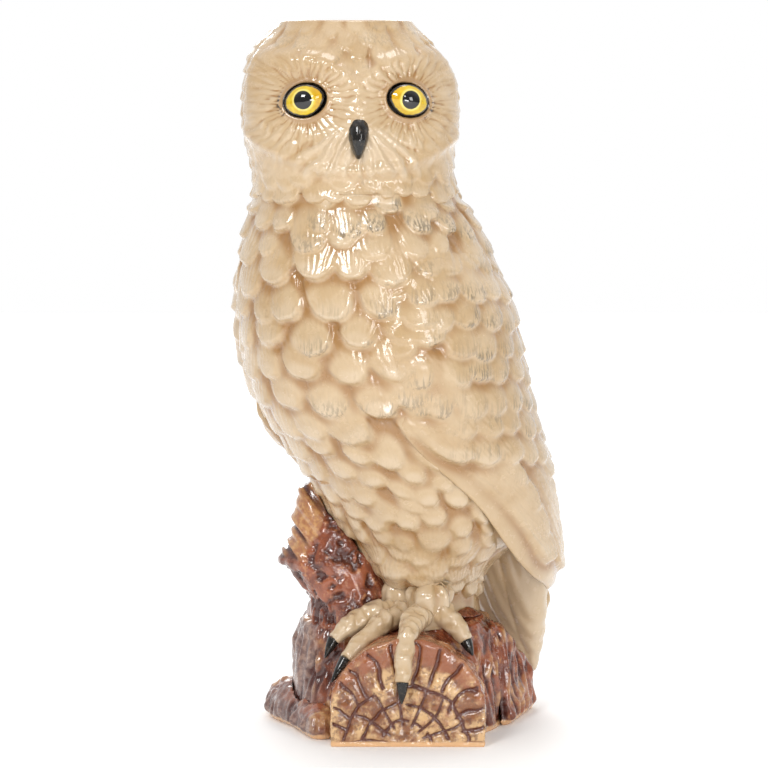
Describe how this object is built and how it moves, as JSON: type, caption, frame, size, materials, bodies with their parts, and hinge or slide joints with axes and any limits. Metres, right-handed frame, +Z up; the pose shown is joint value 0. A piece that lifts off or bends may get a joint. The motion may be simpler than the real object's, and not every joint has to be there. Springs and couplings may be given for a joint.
{
  "type": "owl figurine",
  "caption": "Hollow glazed-pottery owl standing on a tree stump with its head turned, with a round mouth in the crown that opens into the figure",
  "frame": {"origin": "on the ground under the middle of the stump", "axes": "+Z is up, the owl's face looks along -Y, and +X is towards the owl's left wing"},
  "size_m": [0.1884, 0.1852, 0.4],
  "materials": {
    "feather_glaze": "clear gloss glaze over cream, ochre in the hollows, grey brush marks on the feather tips",
    "bark_glaze": "gloss glaze, mottled red-brown, tan and purple-brown",
    "wood_glaze": "gloss glaze, tan with dark brown in the rings and cracks",
    "black_glaze": "high-gloss black",
    "eye_glaze": "high-gloss yellow with a black pupil and outline"
  },
  "bodies": {
    "root": {"stump": "bark_glaze", "log_end": "wood_glaze", "snag": "bark_glaze", "left_root": "bark_glaze", "right_root": "bark_glaze", "body_casting": "feather_glaze", "head_casting": "feather_glaze", "left_wing": "feather_glaze", "right_wing": "feather_glaze", "tail": "feather_glaze", "left_foot": "feather_glaze", "right_foot": "feather_glaze", "left_front_claw": "black_glaze", "left_side_claw": "black_glaze", "right_front_claw": "black_glaze", "right_side_claw": "black_glaze", "beak": "black_glaze", "left_eye": "eye_glaze", "right_eye": "eye_glaze"}
  },
  "joints": []
}
